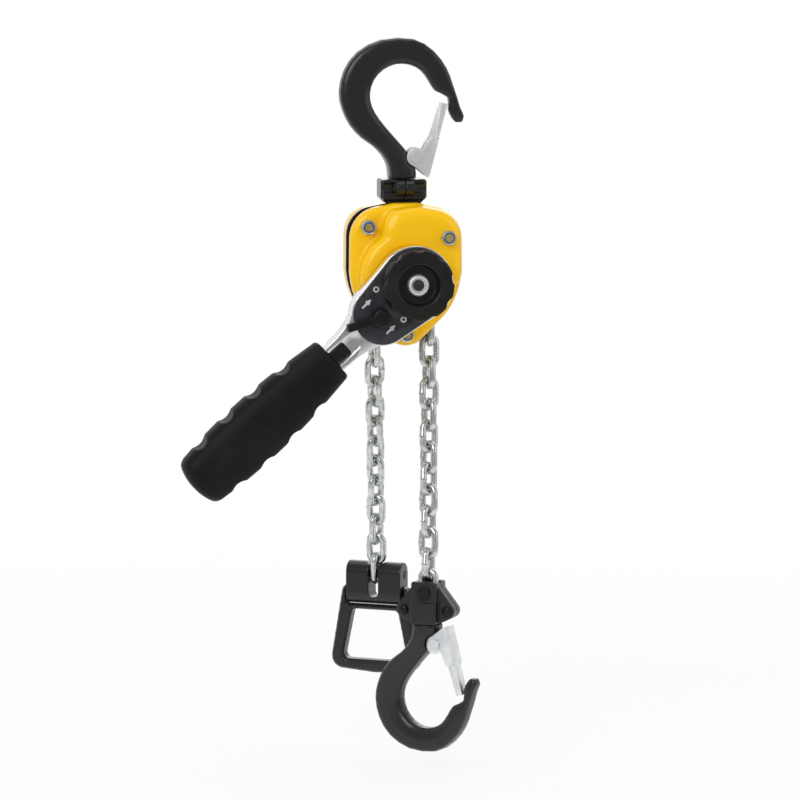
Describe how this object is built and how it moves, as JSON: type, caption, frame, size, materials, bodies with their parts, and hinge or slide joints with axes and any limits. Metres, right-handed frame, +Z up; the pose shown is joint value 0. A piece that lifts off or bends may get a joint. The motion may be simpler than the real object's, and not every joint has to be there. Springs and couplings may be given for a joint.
{
  "type": "lever chain hoist",
  "caption": "Mini lever chain hoist with swivel hooks and latches, ratchet lever, free-chain handwheel, load chain and a slack-end stopper with a pull handle.",
  "frame": {"origin": "centre of the top hook's bowl, where the hoist hangs", "axes": "+Z up along the hanging hoist, +X to the load chain side, -Y towards the lever and handwheel"},
  "size_m": [0.178, 0.1147, 0.4211],
  "materials": {
    "black_forging": "satin black powder coat over a forging",
    "black_rivets": "satin black coated rivet and pin heads",
    "zinc_latch": "bright zinc plated pressed sheet",
    "black_plate": "black coated steel plate",
    "yellow_paint": "glossy yellow enamel on pressed steel",
    "yellow_passivate": "yellow passivated zinc",
    "zinc_nut": "zinc plated lock nut with a blue insert",
    "machined_steel": "machined and oiled steel",
    "bronze": "sintered bronze",
    "friction_lining": "moulded brake lining",
    "sheave_steel": "hardened cast steel",
    "zinc_chain": "galvanised welded chain",
    "handwheel_black": "satin black moulding",
    "selector_black": "semi gloss black moulding",
    "bright_nut": "bright plated",
    "chrome_lever": "polished chrome plate",
    "black_cover_plate": "semi gloss dark plate with plain white arrows",
    "grip_rubber": "matt black moulded rubber"
  },
  "bodies": {
    "top_hook": {"top_hook": "black_forging", "top_latch_pin": "zinc_latch", "top_latch_spring": "zinc_latch"},
    "top_latch": {"top_latch": "zinc_latch"},
    "yoke": {"top_yoke_left": "black_forging", "top_yoke_right": "black_forging", "top_yoke_rivets": "black_rivets"},
    "frame": {"top_pin": "machined_steel", "front_side_plate": "black_plate", "rear_side_plate": "black_plate", "brake_cover": "yellow_paint", "gear_cover": "yellow_paint", "stay_bolts": "yellow_passivate", "stay_nuts": "zinc_nut", "stay_spacers": "machined_steel", "chain_guide": "machined_steel", "sheave_bushes": "bronze", "shaft_bushes": "bronze", "pawl_pins": "machined_steel", "ratchet_disc": "machined_steel"},
    "brake_pawl_right": {"brake_pawl_right": "machined_steel"},
    "brake_pawl_left": {"brake_pawl_left": "machined_steel"},
    "sheave": {"load_sheave": "sheave_steel", "load_gear": "machined_steel", "sheave_links": "zinc_chain"},
    "lay_gear_right": {"lay_gear_right": "machined_steel"},
    "lay_gear_left": {"lay_gear_left": "machined_steel"},
    "drive": {"pinion_shaft": "machined_steel", "friction_hub": "machined_steel", "friction_discs": "friction_lining", "change_gear": "machined_steel", "handwheel": "handwheel_black", "wheel_washer": "bright_nut", "wheel_nut": "bright_nut"},
    "lever": {"lever": "chrome_lever", "lever_back_plate": "chrome_lever", "lever_cover_plate": "black_cover_plate", "lever_screws": "bright_nut", "lever_grip": "grip_rubber", "detent": "machined_steel"},
    "selector": {"selector": "selector_black"},
    "lever_pawl": {"lever_pawl": "machined_steel"},
    "load_chain": {"load_chain": "zinc_chain"},
    "slack_chain": {"slack_chain": "zinc_chain"},
    "bottom_block": {"load_chain_pin": "black_rivets", "bottom_block_front": "black_forging", "bottom_block_back": "black_forging", "bottom_block_rivets": "black_rivets"},
    "bottom_hook": {"bottom_hook": "black_forging", "bottom_latch_pin": "zinc_latch", "bottom_latch_spring": "zinc_latch"},
    "bottom_latch": {"bottom_latch": "zinc_latch"},
    "stopper": {"stopper_block": "black_forging", "stopper_chain_pin": "black_rivets"},
    "stopper_handle": {"stopper_handle": "black_forging", "handle_pin": "black_rivets"}
  },
  "joints": [
    {"name": "top_latch_open", "type": "hinge", "parent": "top_hook", "child": "top_latch", "pos_m": [0.0076, 0, -0.0356], "axis": [0, -1, 0], "range_deg": [0, 45], "stiffness_Nm_per_rad": 0.02, "springref_deg": -22.92},
    {"name": "top_swivel", "type": "hinge", "parent": "top_hook", "child": "yoke", "pos_m": [0, 0, -0.055], "axis": [0, 0, 1], "continuous": true},
    {"name": "body_sway", "type": "hinge", "parent": "yoke", "child": "frame", "pos_m": [0, 0, -0.069], "axis": [0, 1, 0], "range_deg": [0, 8]},
    {"name": "brake_pawl_right_lift", "type": "hinge", "parent": "frame", "child": "brake_pawl_right", "pos_m": [0.02168, -0.017, -0.08781], "axis": [0, 1, 0], "range_deg": [0, 8], "stiffness_Nm_per_rad": 0.01, "springref_deg": -22.92},
    {"name": "brake_pawl_left_lift", "type": "hinge", "parent": "frame", "child": "brake_pawl_left", "pos_m": [-0.00491, -0.017, -0.07813], "axis": [0, 1, 0], "range_deg": [0, 8], "stiffness_Nm_per_rad": 0.01, "springref_deg": -22.92},
    {"name": "drive_turn", "type": "hinge", "parent": "frame", "child": "drive", "pos_m": [0, 0, -0.106], "axis": [0, 1, 0], "range_deg": [-23.4, 23.4]},
    {"name": "sheave_turn", "type": "hinge", "parent": "frame", "child": "sheave", "pos_m": [0, 0, -0.106], "axis": [0, 1, 0], "range_deg": [-7.8, 7.8]},
    {"name": "lay_gear_right_turn", "type": "hinge", "parent": "frame", "child": "lay_gear_right", "pos_m": [0.01409, 0, -0.10087], "axis": [0, 1, 0], "range_deg": [-15.6, 15.6]},
    {"name": "lay_gear_left_turn", "type": "hinge", "parent": "frame", "child": "lay_gear_left", "pos_m": [-0.01409, 0, -0.11113], "axis": [0, 1, 0], "range_deg": [-15.6, 15.6]},
    {"name": "load_chain_run", "type": "slide", "parent": "frame", "child": "load_chain", "axis": [0, 0, 1], "range_m": [-0.0022, 0.0022]},
    {"name": "slack_chain_run", "type": "slide", "parent": "frame", "child": "slack_chain", "axis": [0, 0, 1], "range_m": [-0.00225, 0.00225]},
    {"name": "lever_swing", "type": "hinge", "parent": "frame", "child": "lever", "pos_m": [0, -0.04, -0.106], "axis": [0, 1, 0], "continuous": true},
    {"name": "selector_turn", "type": "hinge", "parent": "lever", "child": "selector", "pos_m": [-0.02103, -0.04, -0.12494], "axis": [0, -1, 0], "range_deg": [0, 53]},
    {"name": "lever_pawl_rock", "type": "hinge", "parent": "lever", "child": "lever_pawl", "pos_m": [-0.02103, -0.04, -0.12494], "axis": [0, -1, 0], "range_deg": [0, 24.1]},
    {"name": "bottom_block_tilt", "type": "hinge", "parent": "load_chain", "child": "bottom_block", "pos_m": [0.01367, -0.01283, -0.29148], "axis": [0.5299, 0.848, 0], "range_deg": [0, 3]},
    {"name": "bottom_swivel", "type": "hinge", "parent": "bottom_block", "child": "bottom_hook", "pos_m": [0.01367, -0.01283, -0.35492], "axis": [0, 0, 1], "range_deg": [-5, 100]},
    {"name": "bottom_latch_open", "type": "hinge", "parent": "bottom_hook", "child": "bottom_latch", "pos_m": [0.019, -0.01747, -0.32181], "axis": [0.6561, 0.7547, 0], "range_deg": [0, 45], "stiffness_Nm_per_rad": 0.02, "springref_deg": -22.92},
    {"name": "stopper_tilt", "type": "hinge", "parent": "slack_chain", "child": "stopper", "pos_m": [-0.00861, 0.03662, -0.28732], "axis": [0.848, -0.5299, 0], "range_deg": [-3, 3]},
    {"name": "handle_swing", "type": "hinge", "parent": "stopper", "child": "stopper_handle", "pos_m": [-0.00861, 0.03662, -0.29882], "axis": [0.848, -0.5299, 0], "range_deg": [0, 75]}
  ],
  "couplings": [
    {"joint": "slack_chain_run", "follows": "load_chain_run", "ratio": -1},
    {"joint": "drive_turn", "follows": "load_chain_run", "rad_per_m": -182.96},
    {"joint": "sheave_turn", "follows": "load_chain_run", "rad_per_m": -60.985},
    {"joint": "lay_gear_right_turn", "follows": "load_chain_run", "rad_per_m": 121.97},
    {"joint": "lay_gear_left_turn", "follows": "load_chain_run", "rad_per_m": 121.97},
    {"joint": "lever_pawl_rock", "follows": "selector_turn", "ratio": 0.45283}
  ]
}
